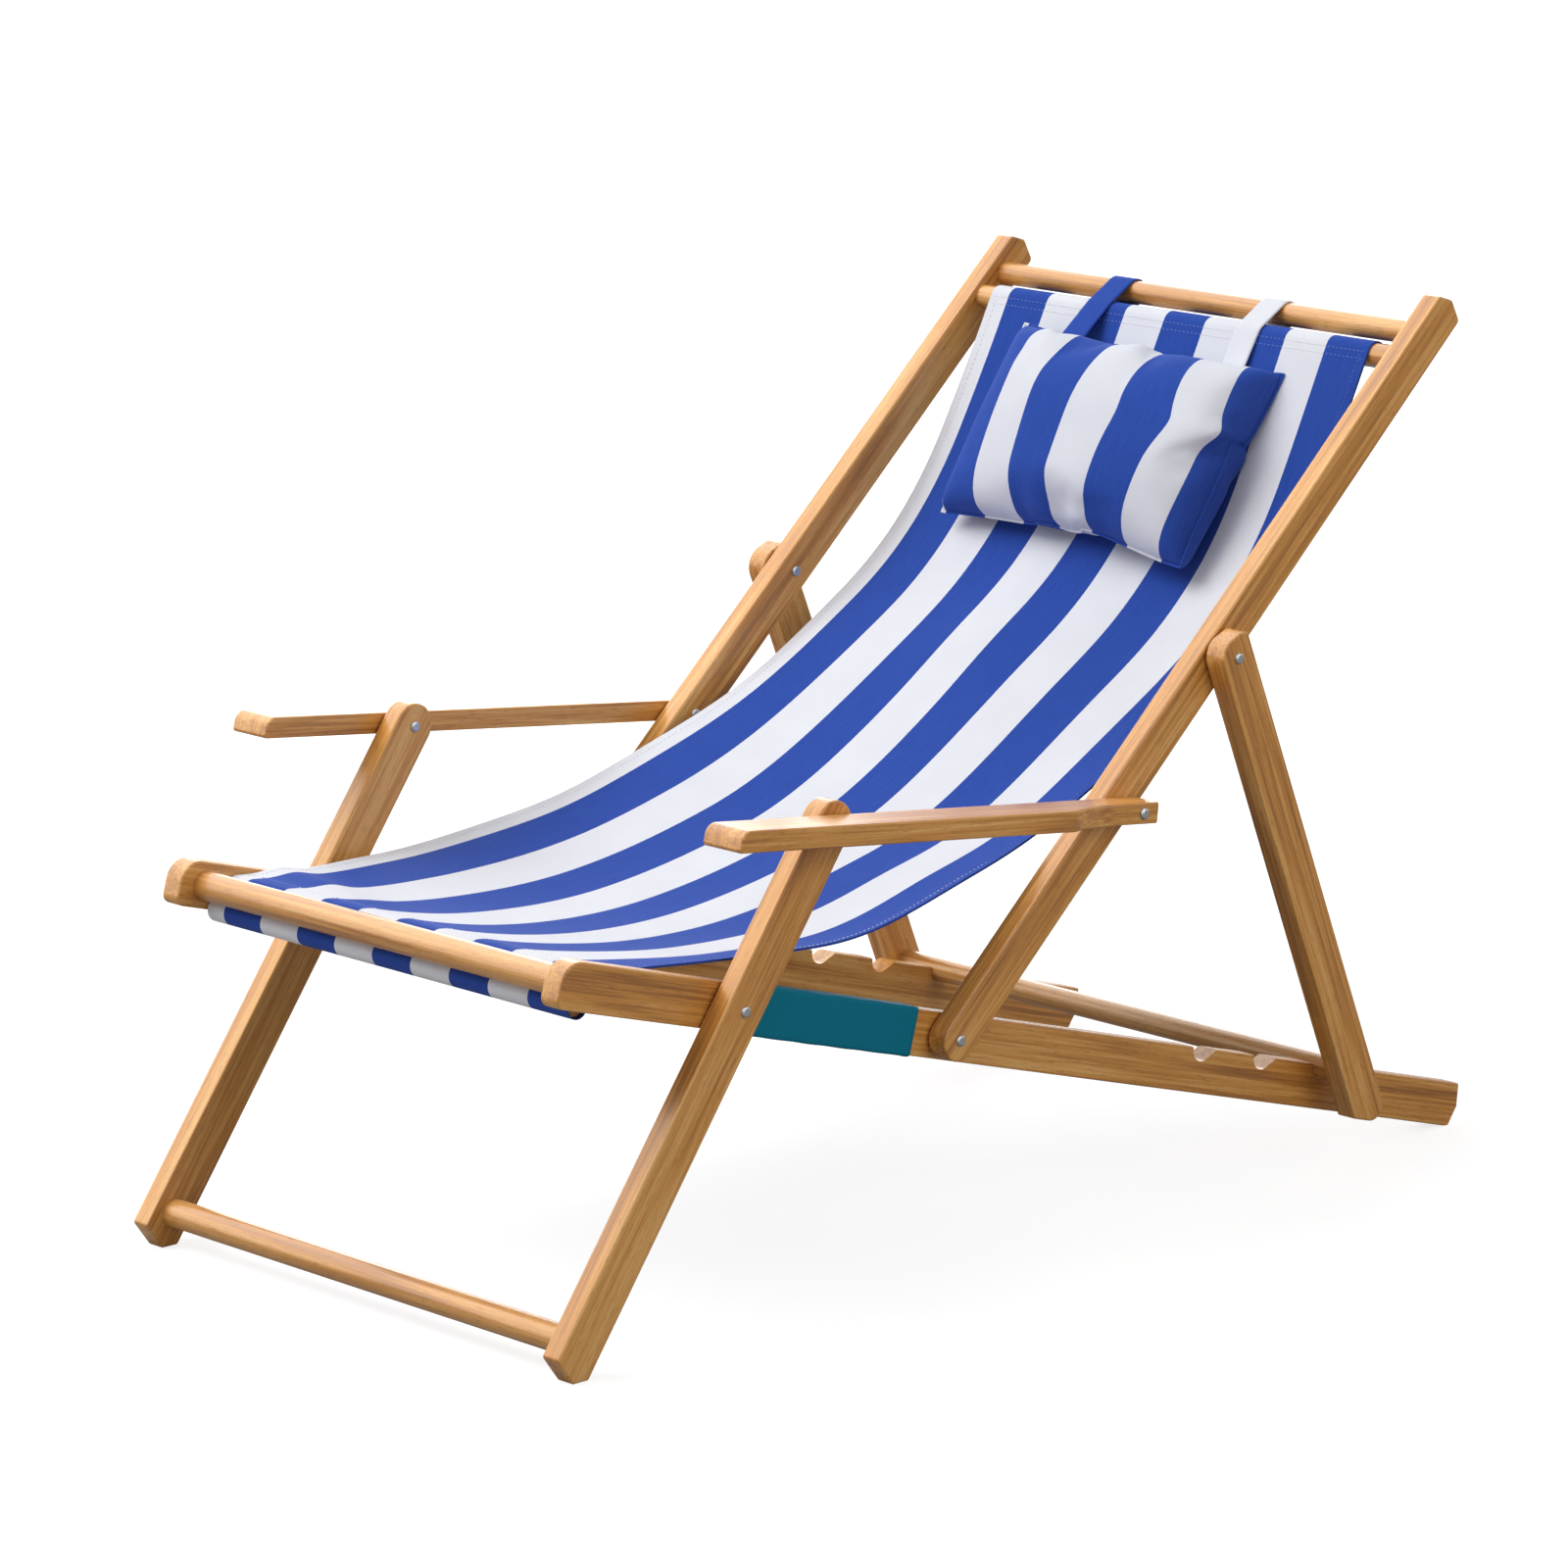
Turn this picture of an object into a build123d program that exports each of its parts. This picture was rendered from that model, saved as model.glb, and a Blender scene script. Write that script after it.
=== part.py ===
from build123d import *
import math
import os

# Folding beach chair: five hinged timber frames, a hanging cloth seat and a head pillow.
# Millimetres, +Z up, +Y to the rear, +X to the sitter's left.
# The origin is the middle of the footprint on the floor.

# Layers across the chair, from the middle plane outwards
RAIL_X = 235.5
RAIL_T = 22.0
LAYER_GAP = 2.0
RIB_X = RAIL_X + RAIL_T + LAYER_GAP
RIB_T = 20.5
ARM_X = RIB_X + RIB_T + LAYER_GAP
PROP_T = 22.0
ARM_W = 46.0
TONGUE_W = 31.0

# Timber depths seen from the side, and the softening of their edges
RAIL_H = 41.5
BACK_H = 37.5
LEG_H = 41.5
PROP_H = 39.5
ARM_H = 19.0
EASE = 2.0

# Rest pose of the seat rails and the back
RAIL_SLOPE = 15.74
BACK_ANGLE = 42.4
BACK_PIVOT_Y = -111.2845

# Pivot spacing of the four-bar linkage of rail, back, arm and leg
RAIL_LINK = 264.0
BACK_LINK = 260.0
ARM_LINK = 345.0
LEG_LINK = 176.5
PROP_PIVOT_AT = 435.0

# Ends of the timbers, measured from the back pivot, the leg pivot, the front arm pivot and the prop pivot
RAIL_FRONT = -456.0
RAIL_REAR = 708.6
RAIL_REAR_BULGE = 3.6
RAIL_HEEL = 704.7
RAIL_PEAK_V = -1.0
RAIL_ROUNDS = (8.0, 1.0, 3.0, 2.0, 20.0)
FLOOR_FLAT = 1.5
BACK_TOP = 843.0
BACK_TOP_BULGE = 9.0
BACK_PEAK_V = 3.5
BACK_TOP_ROUND = 5.0
TOE_AT = -7.0
TOE_RISE = 9.0
HEEL_ROUND = 3.0
TOE_ROUNDS = (4.0, 2.5)
ARM_FRONT = -154.5
ARM_ROUNDS = (3.0, 2.0, 2.0, 11.0)
ARM_NOSE_SET = 3.0
ARM_REAR = 19.0
TAPER_START = 245.0
TAPER_END = 320.0
PROP_ROUNDS = (19.6, 3.0, 14.0, 8.0)

# Notches in the top edge of the seat rails
NOTCH_FIRST = 339.0
NOTCH_STEP = 83.5
NOTCH_COUNT = 3
NOTCH_SINK = 0.9
NOTCH_CLEAR = 0.35
NOTCH_RAMP = 38.0
NOTCH_FRONT = 80.0

# Round bars, their sockets and where they sit along their timbers
FRONT_BAR_R = 13.0
FRONT_BAR_AT = RAIL_FRONT + 27.6
FRONT_SLING_BAR_AT = FRONT_BAR_AT + 34.0
SLING_BAR_R = 10.75
FRONT_SLING_BAR_RISE = 1.0
TOP_SLING_BAR_RISE = 5.0
TOP_BAR_R = 10.75
TOP_BAR_AT = 812.0
TOP_SLING_BAR_AT = 778.0
STRETCHER_R = 12.75
STRETCHER_AT = -310.0
PROP_BAR_R = 11.2
SOCKET_DEPTH = 14.0
SOCKET_FIT = 0.05

# Pivot hardware
BOLT_R = 3.0
BOLT_FIT = 0.05
OPEN_PIVOT_FIT = 0.95
HEAD_R = 5.1
HEAD_H = 2.4
HEAD_ROUND = 2.0
WASHER_R = 8.0
RUNNING_GAP = 0.4
ARM_BOLT_DEPTH = 28.0
NUT_GRIP = 1.2
NUT_HOLLOW = 1.4

# Cloth seat: a strip hung over two bars, its path given as arcs from front to rear
# A loose dowel in the sleeve at each end wedges behind a pair of bars and holds the cloth
SLING_PLAN = ((-600.0, 233.0), (-430.0, 233.0), (-320.0, 247.0), (-60.0, 247.0), (200.0, 237.0), (600.0, 237.0))
CLOTH_T = 1.6
CLOTH_CLEAR = 0.6
SLING_FRONT_HEADING = -7.2
SEAT_RADIUS = 1350.0
SEAT_TURN = 10.0
THIGH_RADIUS = 1020.0
THIGH_TURN = 30.0
LUMBAR_RADIUS = 420.0
LUMBAR_TURN = 27.0
DOWEL_R = 9.5
DOWEL_GAP = 0.5
FRONT_DOWEL_HALF = 230.0
TOP_DOWEL_HALF = 246.0
SLEEVE_TURN = 295.0

# Head pillow, hung from the top bar by two straps
PILLOW_HALF_L = 170.0
PILLOW_X = -5.0
PILLOW_HALF_H = 96.0
PILLOW_FRONT = 54.0
PILLOW_BACK = 22.0
PILLOW_EDGE = 3.0
PILLOW_RISE = 2.0
PILLOW_ANGLE = 55.0
PILLOW_AT = 648.0
STRAP_W = 25.0
STRAP_T = 1.4
STRAP_X = (-100.0, 92.0)
STRAP_OVER = 130.0
STRAP_UNDER = 110.0
STRAP_SEAM = 3.0
PILLOW_SECTIONS = ((-1.0, 1.04, 0.0), (-0.88, 1.01, 0.42), (-0.5, 0.98, 0.86), (0.0, 0.97, 1.0))

# Teal cloth wrap on the left seat rail
WRAP_T = 1.0
WRAP_START = -252.0
WRAP_END = -36.0


def turned(angle):
    """Unit vector in the side view, from its angle above the +Y direction."""
    return Vector(math.cos(math.radians(angle)), math.sin(math.radians(angle)))


def link_plane(pivot, angle, x):
    """Plane of a timber: local x runs along it from its pivot, local y across it, and z is +X."""
    along = turned(angle)
    return Plane((x, pivot.X, pivot.Y), x_dir=(0, along.X, along.Y), z_dir=(1, 0, 0))


def board(plane, corners, radii, thickness, ease=EASE):
    """A timber cut from a board: an outline with rounded corners and eased edges."""
    outline = FilletPolyline(*corners, radius=radii, close=True)
    plank = extrude(plane * make_face(outline), thickness)
    return fillet(plank.edges(), ease)


def round_bar(centre, radius, half_length):
    """A turned bar lying across the chair, centred on the middle plane."""
    face = Plane.YZ.offset(-half_length) * Pos(centre.X, centre.Y) * Circle(radius)
    return extrude(face, 2 * half_length)


def drill(centre, radius, x_from, x_to):
    """A round cutter along X between two X positions."""
    face = Plane.YZ.offset(x_from) * Pos(centre.X, centre.Y) * Circle(radius)
    return extrude(face, x_to - x_from)


def button(centre, x_face, outward):
    """A domed bolt head or cap nut on a timber's face, its edge rounded on the outer side."""
    x_far = x_face + outward * HEAD_H
    disc = drill(centre, HEAD_R, min(x_face, x_far), max(x_face, x_far))
    rim = disc.edges().filter_by(GeomType.CIRCLE).sort_by(Axis.X)
    return fillet(rim[-1] if outward > 0 else rim[0], HEAD_ROUND)


def washer(centre, x_from, x_to):
    """A flat ring between two timbers."""
    ring = drill(centre, WASHER_R, x_from, x_to)
    return ring - drill(centre, BOLT_R + BOLT_FIT, x_from, x_to)


def both_sides(solid):
    """A left-hand piece with its mirror twin, as one set."""
    return Compound(children=[solid, mirror(solid, about=Plane.YZ)])


# Pivots in the side view; the rail's heel and the front feet stand on the floor
rail_sin = math.sin(math.radians(RAIL_SLOPE))
rail_cos = math.cos(math.radians(RAIL_SLOPE))
back_pivot_z = RAIL_HEEL * rail_sin + RAIL_H / 2 * rail_cos - FLOOR_FLAT
rail_along = turned(-RAIL_SLOPE)
rail_up = turned(90 - RAIL_SLOPE)
back_along = turned(BACK_ANGLE)
back_up = turned(90 + BACK_ANGLE)
back_pivot = Vector(BACK_PIVOT_Y, back_pivot_z)
leg_pivot = back_pivot - rail_along * RAIL_LINK
arm_rear_pivot = back_pivot + back_along * BACK_LINK
prop_pivot = back_pivot + back_along * PROP_PIVOT_AT

# The front arm pivot closes the linkage
reach = arm_rear_pivot - leg_pivot
reach_angle = math.degrees(math.atan2(reach.Y, reach.X))
cos_lift = (reach.length**2 + LEG_LINK**2 - ARM_LINK**2) / (2 * reach.length * LEG_LINK)
leg_angle = reach_angle + math.degrees(math.acos(cos_lift))
leg_along = turned(leg_angle)
arm_front_pivot = leg_pivot + leg_along * LEG_LINK
arm_span = arm_rear_pivot - arm_front_pivot
arm_angle = math.degrees(math.atan2(arm_span.Y, arm_span.X))

# The prop's bar rests in the rearmost notch
notch_v = RAIL_H / 2 - NOTCH_SINK
notch_last = NOTCH_FIRST + (NOTCH_COUNT - 1) * NOTCH_STEP
prop_bar = back_pivot + rail_along * notch_last + rail_up * notch_v
prop_span = prop_bar - prop_pivot
prop_angle = math.degrees(math.atan2(prop_span.Y, prop_span.X))

# Centres of the round bars
front_bar = back_pivot + rail_along * FRONT_BAR_AT
front_sling_bar_at = back_pivot + rail_along * FRONT_SLING_BAR_AT + rail_up * FRONT_SLING_BAR_RISE
top_bar = back_pivot + back_along * TOP_BAR_AT
top_sling_bar_at = back_pivot + back_along * TOP_SLING_BAR_AT + back_up * TOP_SLING_BAR_RISE
stretcher = leg_pivot + leg_along * STRETCHER_AT

# Seat rail: notched along the top, slant-cut at the heel
rail_plane = link_plane(back_pivot, -RAIL_SLOPE, RAIL_X)
rail_half = RAIL_H / 2
rail_corners = [
    (RAIL_FRONT, -rail_half),
    (RAIL_HEEL, -rail_half),
    (RAIL_REAR + RAIL_REAR_BULGE, RAIL_PEAK_V),
    (RAIL_REAR, rail_half),
    (RAIL_FRONT, rail_half),
]
seat_rail = board(rail_plane, rail_corners, RAIL_ROUNDS, RAIL_T)
notch_r = PROP_BAR_R + NOTCH_CLEAR
notch_mouth = rail_half + 4.0
for index in range(NOTCH_COUNT):
    seat = Vector(NOTCH_FIRST + index * NOTCH_STEP, notch_v)
    ramp_foot = seat + turned(NOTCH_RAMP - 90) * notch_r
    wall_foot = seat + turned(270 - NOTCH_FRONT) * notch_r
    ramp_run = (notch_mouth - ramp_foot.Y) / math.sin(math.radians(NOTCH_RAMP))
    wall_run = (notch_mouth - wall_foot.Y) / math.sin(math.radians(NOTCH_FRONT))
    ramp_top = ramp_foot + turned(NOTCH_RAMP) * ramp_run
    wall_top = wall_foot + turned(180 - NOTCH_FRONT) * wall_run
    bottom = seat + turned((NOTCH_RAMP - NOTCH_FRONT) / 2 - 90) * notch_r
    profile = [
        Line(wall_top, wall_foot),
        ThreePointArc(wall_foot, bottom, ramp_foot),
        Line(ramp_foot, ramp_top),
        Line(ramp_top, wall_top),
    ]
    seat_rail -= extrude(rail_plane * make_face(profile), RAIL_T)
socket_top = RAIL_X + SOCKET_DEPTH
seat_rail -= drill(front_bar, FRONT_BAR_R + SOCKET_FIT, RAIL_X - 1, socket_top)
seat_rail -= drill(front_sling_bar_at, SLING_BAR_R + SOCKET_FIT, RAIL_X - 1, socket_top)
for pivot in (back_pivot, leg_pivot):
    seat_rail -= drill(pivot, BOLT_R + BOLT_FIT, RAIL_X - 1, RIB_X)
floor_cut = Pos(0, 0, -50) * Box(2000, 3000, 100)
seat_rail -= floor_cut

# Back rail: half-round at the pivot, cut to a low peak at the top
back_plane = link_plane(back_pivot, BACK_ANGLE, RIB_X)
back_half = BACK_H / 2
back_corners = [
    (-back_half, -back_half),
    (BACK_TOP + BACK_TOP_BULGE / 3, -back_half),
    (BACK_TOP + BACK_TOP_BULGE, BACK_PEAK_V),
    (BACK_TOP, back_half),
    (-back_half, back_half),
]
back_round = back_half - 0.1
back_rounds = [back_round, BACK_TOP_ROUND, BACK_TOP_ROUND, BACK_TOP_ROUND, back_round]
back_rail = board(back_plane, back_corners, back_rounds, RIB_T)
rib_socket = RIB_X + SOCKET_DEPTH
back_rail -= drill(top_bar, TOP_BAR_R + SOCKET_FIT, RIB_X - 1, rib_socket)
back_rail -= drill(top_sling_bar_at, SLING_BAR_R + SOCKET_FIT, RIB_X - 1, rib_socket)
for pivot in (back_pivot, arm_rear_pivot, prop_pivot):
    back_rail -= drill(pivot, BOLT_R + BOLT_FIT, RIB_X - 1, ARM_X)

# Front leg: half-round at the top, level on the floor at the foot, cut back at the toe
leg_plane = link_plane(leg_pivot, leg_angle, RIB_X)
leg_half = LEG_H / 2


def leg_floor(v):
    """Distance along the leg, at the offset v across it, where it meets the floor."""
    return -(leg_pivot.Y + v * leg_along.X) / leg_along.Y


leg_corners = [
    (leg_floor(-leg_half), -leg_half),
    (LEG_LINK + leg_half, -leg_half),
    (LEG_LINK + leg_half, leg_half),
    (leg_floor(TOE_AT) + TOE_RISE, leg_half),
    (leg_floor(TOE_AT), TOE_AT),
]
leg_round = leg_half - 0.1
front_leg = board(leg_plane, leg_corners, [HEEL_ROUND, leg_round, leg_round, *TOE_ROUNDS], RIB_T)
front_leg -= drill(stretcher, STRETCHER_R + SOCKET_FIT, RIB_X - 1, rib_socket)
for pivot in (leg_pivot, arm_front_pivot):
    front_leg -= drill(pivot, BOLT_R + BOLT_FIT, RIB_X - 1, ARM_X)

# Armrest: a flat board with a sloped nose, hollowed in to a tongue at the rear pivot
arm_plane = link_plane(arm_front_pivot, arm_angle, ARM_X)
arm_half = ARM_H / 2
arm_end = ARM_LINK + ARM_REAR
arm_corners = [
    (ARM_FRONT, -arm_half),
    (arm_end, -arm_half),
    (arm_end, arm_half),
    (ARM_FRONT + ARM_NOSE_SET, arm_half),
]
outline = FilletPolyline(*arm_corners, radius=ARM_ROUNDS, close=True)
armrest = extrude(arm_plane * make_face(outline), ARM_W)
plan = Plane(arm_plane.origin, x_dir=arm_plane.x_dir, z_dir=arm_plane.y_dir)
taper_start = Vector(TAPER_START, -ARM_W)
taper_end = Vector(TAPER_END, -TONGUE_W)
tongue_end = Vector(arm_end + 5, -TONGUE_W)
waste_corner = Vector(arm_end + 5, -ARM_W - 5)
waste_start = Vector(TAPER_START, -ARM_W - 5)
waste = [
    TangentArc(taper_end, taper_start, tangent=(-1, 0)),
    Polyline(taper_end, tongue_end, waste_corner, waste_start, taper_start),
]
armrest -= extrude(plan * make_face(waste), ARM_H, both=True)
armrest = fillet(armrest.edges(), EASE)
armrest -= drill(arm_front_pivot, BOLT_R + BOLT_FIT, ARM_X - 1, ARM_X + ARM_BOLT_DEPTH + 1)
armrest -= drill(arm_rear_pivot, BOLT_R + OPEN_PIVOT_FIT, ARM_X - 1, ARM_X + ARM_W)

# Prop: rounded over at its pivot, its foot cut flush with the lower edge of the rail
prop_plane = link_plane(prop_pivot, prop_angle, ARM_X)
prop_half = PROP_H / 2
prop_drop = (prop_pivot - back_pivot).dot(rail_up) + rail_half


def prop_foot(v):
    """Distance along the prop, at the offset v across it, where it meets the rail's lower edge."""
    return -(prop_drop + v * turned(prop_angle + 90).dot(rail_up)) / turned(prop_angle).dot(rail_up)


prop_corners = [
    (-prop_half, -prop_half),
    (prop_foot(-prop_half), -prop_half),
    (prop_foot(prop_half), prop_half),
    (-prop_half, prop_half),
]
prop = board(prop_plane, prop_corners, PROP_ROUNDS, PROP_T)
prop -= drill(prop_bar, PROP_BAR_R + SOCKET_FIT, ARM_X - 1, ARM_X + SOCKET_DEPTH)
prop -= drill(prop_pivot, BOLT_R + BOLT_FIT, ARM_X - 1, ARM_X + PROP_T + 1)

# Cloth wrap round the left seat rail
wrap_frame = Plane(rail_plane.origin, x_dir=rail_plane.y_dir, z_dir=rail_plane.x_dir).offset(WRAP_START)
wrap_inner = Pos(0, RAIL_T / 2) * RectangleRounded(RAIL_H + 0.6, RAIL_T + 0.6, EASE + 0.3)
wrap_outer = offset(wrap_inner, WRAP_T)
rail_wrap = extrude(wrap_frame * (wrap_outer - wrap_inner), WRAP_END - WRAP_START)

# Pivot bolts, cap nuts and washers
x_rail_nut = RAIL_X - RUNNING_GAP
x_rib_out = RIB_X + RIB_T
x_prop_out = ARM_X + PROP_T
x_tongue_out = ARM_X + TONGUE_W


def bolt(pivot, x_tip, x_seat, outward=1):
    """A bolt with its head seated at x_seat and its shank running to x_tip."""
    shank = drill(pivot, BOLT_R, min(x_tip, x_seat), max(x_tip, x_seat))
    return shank + button(pivot, x_seat, outward)


def cap_nut(pivot, x_seat):
    """A domed nut on the inner side, hollowed for the tip of its bolt."""
    return button(pivot, x_seat, -1) - drill(pivot, BOLT_R + BOLT_FIT, x_seat - NUT_HOLLOW, x_seat)


rib_nut_gap = RIB_X - RUNNING_GAP
hardware = {
    "back_pivot_bolts": bolt(back_pivot, x_rail_nut - NUT_GRIP, x_rib_out),
    "back_pivot_nuts": cap_nut(back_pivot, x_rail_nut),
    "back_pivot_washers": washer(back_pivot, RAIL_X + RAIL_T + RUNNING_GAP, RIB_X),
    "leg_pivot_bolts": bolt(leg_pivot, x_rail_nut - NUT_GRIP, x_rib_out),
    "leg_pivot_nuts": cap_nut(leg_pivot, x_rail_nut),
    "leg_pivot_washers": washer(leg_pivot, RAIL_X + RAIL_T + RUNNING_GAP, RIB_X),
    "arm_front_bolts": bolt(arm_front_pivot, ARM_X + ARM_BOLT_DEPTH, rib_nut_gap, -1),
    "arm_front_washers": washer(arm_front_pivot, x_rib_out + RUNNING_GAP, ARM_X),
    "arm_rear_bolts": bolt(arm_rear_pivot, RIB_X - NUT_GRIP, x_tongue_out + RUNNING_GAP),
    "arm_rear_nuts": cap_nut(arm_rear_pivot, RIB_X),
    "arm_rear_washers": washer(arm_rear_pivot, x_rib_out, ARM_X - RUNNING_GAP),
    "prop_pivot_bolts": bolt(prop_pivot, rib_nut_gap - NUT_GRIP, x_prop_out),
    "prop_pivot_nuts": cap_nut(prop_pivot, rib_nut_gap),
    "prop_pivot_washers": washer(prop_pivot, x_rib_out + RUNNING_GAP, ARM_X),
}

# Loose dowels: drawn up by the cloth against the pair of bars at each end of the seat
wrap_r = SLING_BAR_R + CLOTH_CLEAR + CLOTH_T / 2
sleeve_r = DOWEL_R + CLOTH_CLEAR + CLOTH_T / 2
sleeve_out = sleeve_r + CLOTH_T / 2 + DOWEL_GAP
cloth_stack = CLOTH_CLEAR + CLOTH_T
strap_stack = CLOTH_CLEAR + STRAP_T


def wedged(first, first_reach, second, second_reach):
    """Centre of a dowel held against two bars, on the right-hand side going from the first to the second."""
    span = second - first
    forward = span.normalized()
    along = (first_reach**2 - second_reach**2 + span.length**2) / (2 * span.length)
    aside = math.sqrt(first_reach**2 - along**2)
    return first + forward * along + Vector(forward.Y, -forward.X) * aside


sling_reach = SLING_BAR_R + cloth_stack + sleeve_out
front_dowel_at = wedged(front_bar, FRONT_BAR_R + sleeve_out, front_sling_bar_at, sling_reach)
top_dowel_at = wedged(top_sling_bar_at, sling_reach, top_bar, TOP_BAR_R + strap_stack + sleeve_out)


def slip_heading(start, finish, bend):
    """Heading of cloth that slips between two circles; bend is 1 when it turns left on the first, else -1."""
    span = finish - start
    lean = math.degrees(math.asin((wrap_r + sleeve_r) / span.length))
    return math.degrees(math.atan2(span.Y, span.X)) + bend * lean


# Cloth seat: a sleeve round the front dowel, over the front bar, along the body's curve, over the top bar
# and down to a sleeve round the top dowel
front_slip = slip_heading(front_dowel_at, front_sling_bar_at, 1)
sleeve_start = front_dowel_at + turned(front_slip - 90 - SLEEVE_TURN) * sleeve_r
front_sleeve = JernArc(sleeve_start, turned(front_slip - SLEEVE_TURN), sleeve_r, SLEEVE_TURN)
front_slip_end = front_sling_bar_at + turned(front_slip + 90) * wrap_r
over_front = JernArc(front_slip_end, turned(front_slip), wrap_r, SLING_FRONT_HEADING - front_slip)
seat_arc = JernArc(over_front @ 1, turned(SLING_FRONT_HEADING), SEAT_RADIUS, SEAT_TURN)
thigh_arc = JernArc(seat_arc @ 1, seat_arc % 1, THIGH_RADIUS, THIGH_TURN)
lumbar_arc = JernArc(thigh_arc @ 1, thigh_arc % 1, LUMBAR_RADIUS, LUMBAR_TURN)
lumbar_end = lumbar_arc @ 1
lumbar_left = (lumbar_arc % 1).rotate(Axis.Z, 90)
bar_offset = lumbar_end - top_sling_bar_at
shoulder_radius = (bar_offset.length**2 - wrap_r**2) / (2 * (wrap_r - bar_offset.dot(lumbar_left)))
shoulder_centre = lumbar_end + lumbar_left * shoulder_radius
top_meet = top_sling_bar_at + (shoulder_centre - top_sling_bar_at).normalized() * wrap_r
shoulder_arc = TangentArc(lumbar_end, top_meet, tangent=lumbar_arc % 1)
shoulder_way = shoulder_arc % 1
shoulder_heading = math.degrees(math.atan2(shoulder_way.Y, shoulder_way.X))
top_slip = slip_heading(top_sling_bar_at, top_dowel_at, -1)
over_top = JernArc(top_meet, shoulder_way, wrap_r, top_slip - shoulder_heading)
top_slip_end = top_dowel_at + turned(top_slip - 90) * sleeve_r
sling_path = [
    front_sleeve,
    Line(front_sleeve @ 1, front_slip_end),
    over_front,
    seat_arc,
    thigh_arc,
    lumbar_arc,
    shoulder_arc,
    over_top,
    Line(over_top @ 1, top_slip_end),
    JernArc(top_slip_end, turned(top_slip), sleeve_r, SLEEVE_TURN),
]
sling_band = trace(Wire(sling_path), CLOTH_T)
plan_left = [(half, y) for y, half in SLING_PLAN]
plan_right = [(-half, y) for y, half in reversed(SLING_PLAN)]
sling_plan = make_face(Polyline(*plan_left, *plan_right, close=True))
sling_width = 2 * max(half for y, half in SLING_PLAN)
sling = extrude(Plane.YZ.offset(-sling_width / 2) * sling_band, sling_width)
sling = sling & extrude(sling_plan, 1000)

# Pillow: lens sections from end to end, full in the middle and pinched to the corners
pillow_along = turned(PILLOW_ANGLE)
pillow_up = turned(90 + PILLOW_ANGLE)
pillow_centre = back_pivot + back_along * PILLOW_AT + back_up * PILLOW_RISE
pillow_sections = []
mirrored_sections = [(-place, height, fullness) for place, height, fullness in PILLOW_SECTIONS[-2::-1]]
for place, height, fullness in [*PILLOW_SECTIONS, *mirrored_sections]:
    top = pillow_centre + pillow_along * (height * PILLOW_HALF_H)
    low = pillow_centre - pillow_along * (height * PILLOW_HALF_H)
    front = pillow_centre + pillow_up * (PILLOW_EDGE + fullness * (PILLOW_FRONT - PILLOW_EDGE))
    rear = pillow_centre - pillow_up * (PILLOW_EDGE + fullness * (PILLOW_BACK - PILLOW_EDGE))
    lens = make_face([ThreePointArc(low, front, top), ThreePointArc(top, rear, low)])
    pillow_sections.append(Plane.YZ.offset(PILLOW_X + place * PILLOW_HALF_L) * lens)
pillow = loft(pillow_sections)

# Straps: from the pillow's top seam, over the front of the top sling bar, round the top bar
strap_bar_r = TOP_BAR_R + CLOTH_CLEAR + STRAP_T / 2
strap_lap_r = wrap_r + CLOTH_T / 2 + CLOTH_CLEAR + STRAP_T / 2
bars = top_bar - top_sling_bar_at
bars_angle = math.degrees(math.atan2(bars.Y, bars.X))
spread = math.degrees(math.asin((strap_bar_r - strap_lap_r) / bars.length))
lap_normal = turned(bars_angle + 90 + spread)
lap_end = top_sling_bar_at + lap_normal * strap_lap_r
bar_start = top_bar + lap_normal * strap_bar_r
strap_foot = pillow_centre + pillow_along * (PILLOW_HALF_H + STRAP_SEAM)
lap_arc = TangentArc(lap_end, strap_foot, tangent=lap_end - bar_start)
over_bar = JernArc(bar_start, bar_start - lap_end, strap_bar_r, -STRAP_OVER)
under_bar = JernArc(over_bar @ 1, over_bar % 1, strap_bar_r, -STRAP_UNDER)
strap_path = Wire([lap_arc, Line(lap_end, bar_start), over_bar, under_bar])
strap_band = trace(strap_path, STRAP_T)
straps = [extrude(Plane.YZ.offset(x - STRAP_W / 2) * strap_band, STRAP_W) for x in STRAP_X]

nodes = {
    "seat_rail_left": seat_rail,
    "seat_rail_right": mirror(seat_rail, about=Plane.YZ),
    "back_rail_left": back_rail,
    "back_rail_right": mirror(back_rail, about=Plane.YZ),
    "front_leg_left": front_leg,
    "front_leg_right": mirror(front_leg, about=Plane.YZ),
    "armrest_left": armrest,
    "armrest_right": mirror(armrest, about=Plane.YZ),
    "prop_left": prop,
    "prop_right": mirror(prop, about=Plane.YZ),
    "front_crossbar": round_bar(front_bar, FRONT_BAR_R, socket_top),
    "front_sling_bar": round_bar(front_sling_bar_at, SLING_BAR_R, socket_top),
    "top_crossbar": round_bar(top_bar, TOP_BAR_R, rib_socket),
    "top_sling_bar": round_bar(top_sling_bar_at, SLING_BAR_R, rib_socket),
    "leg_stretcher": round_bar(stretcher, STRETCHER_R, rib_socket),
    "prop_crossbar": round_bar(prop_bar, PROP_BAR_R, ARM_X + SOCKET_DEPTH),
    "front_dowel": round_bar(front_dowel_at, DOWEL_R, FRONT_DOWEL_HALF),
    "top_dowel": round_bar(top_dowel_at, DOWEL_R, TOP_DOWEL_HALF),
    "rail_wrap": rail_wrap,
    "sling": sling,
    "pillow": pillow,
    "pillow_strap_left": straps[1],
    "pillow_strap_right": straps[0],
}
for name, piece in hardware.items():
    nodes[name] = both_sides(piece)

os.makedirs("parts", exist_ok=True)
for name, solid in nodes.items():
    solid.label = name
    export_step(solid, f"parts/{name}.step")

box = Compound(children=[Compound(solid.wrapped) for solid in nodes.values()]).bounding_box()
print("size", box.size, "middle y", round(box.center().Y, 4))
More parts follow.
